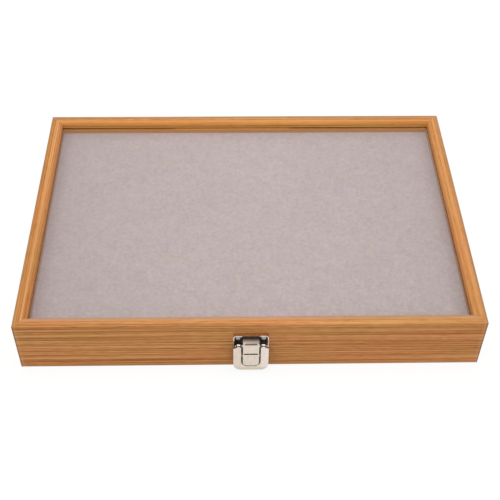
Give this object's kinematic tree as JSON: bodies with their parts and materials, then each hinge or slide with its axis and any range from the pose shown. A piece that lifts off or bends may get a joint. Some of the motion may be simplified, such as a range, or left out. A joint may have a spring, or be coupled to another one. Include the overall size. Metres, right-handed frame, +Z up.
{
  "type": "wooden jewelry box",
  "caption": "Shallow wooden jewelry box: mitred walls, hinged framed lid with glass over a grey velvet panel, nickel box latch at the front.",
  "frame": {"origin": "middle of the box's underside, on the surface that it stands on", "axes": "+X along the front towards the right-hand end, +Y from the latch side to the hinge side, +Z up"},
  "size_m": [0.35, 0.2556, 0.048],
  "materials": {
    "stained_wood": "satin varnish over straight-grained wood",
    "bottom_board": "stained plywood",
    "backing_board": "raw hardboard",
    "grey_velvet": "matt short-pile velvet",
    "clear_glass": "polished",
    "nickel_plate": "bright nickel plate",
    "nickel_screws": "bright nickel plate"
  },
  "bodies": {
    "base": {"base_wall_front": "stained_wood", "base_wall_back": "stained_wood", "base_wall_left": "stained_wood", "base_wall_right": "stained_wood", "base_bottom": "bottom_board", "wall_liner_front": "grey_velvet", "wall_liner_back": "grey_velvet", "wall_liner_left": "grey_velvet", "wall_liner_right": "grey_velvet", "floor_pad": "grey_velvet", "hinge_leaf_base_left": "nickel_plate", "hinge_leaf_base_right": "nickel_plate", "hinge_pin_left": "nickel_screws", "hinge_pin_right": "nickel_screws", "hinge_screws_base": "nickel_screws", "latch_base_plate": "nickel_plate", "latch_base_screws": "nickel_screws", "latch_pivot_pin": "nickel_screws"},
    "lid": {"lid_rail_front": "stained_wood", "lid_rail_back": "stained_wood", "lid_rail_left": "stained_wood", "lid_rail_right": "stained_wood", "lid_glass": "clear_glass", "spacer_front": "stained_wood", "spacer_back": "stained_wood", "spacer_left": "stained_wood", "spacer_right": "stained_wood", "panel_velvet": "grey_velvet", "panel_board": "backing_board", "lid_lining": "grey_velvet", "retaining_bead_front": "stained_wood", "retaining_bead_back": "stained_wood", "retaining_bead_left": "stained_wood", "retaining_bead_right": "stained_wood", "latch_keeper": "nickel_plate", "keeper_screws": "nickel_screws", "hinge_leaf_lid_left": "nickel_plate", "hinge_leaf_lid_right": "nickel_plate", "hinge_screws_lid": "nickel_screws"},
    "latch_lever": {"latch_lever": "nickel_plate", "strap_pin": "nickel_screws"},
    "latch_strap": {"latch_strap": "nickel_plate"}
  },
  "joints": [
    {"name": "lid_hinge", "type": "hinge", "parent": "base", "child": "lid", "pos_m": [0, 0.1244, 0.025], "axis": [-1, 0, 0], "range_deg": [0, 180]},
    {"name": "latch_lever_pivot", "type": "hinge", "parent": "base", "child": "latch_lever", "pos_m": [0, -0.1275, 0.0296], "axis": [-1, 0, 0], "range_deg": [0, 110]},
    {"name": "latch_strap_pivot", "type": "hinge", "parent": "latch_lever", "child": "latch_strap", "pos_m": [0, -0.1267, 0.0214], "axis": [-1, 0, 0], "range_deg": [-110, 0]}
  ],
  "couplings": [
    {"joint": "latch_strap_pivot", "follows": "latch_lever_pivot", "ratio": -1}
  ]
}
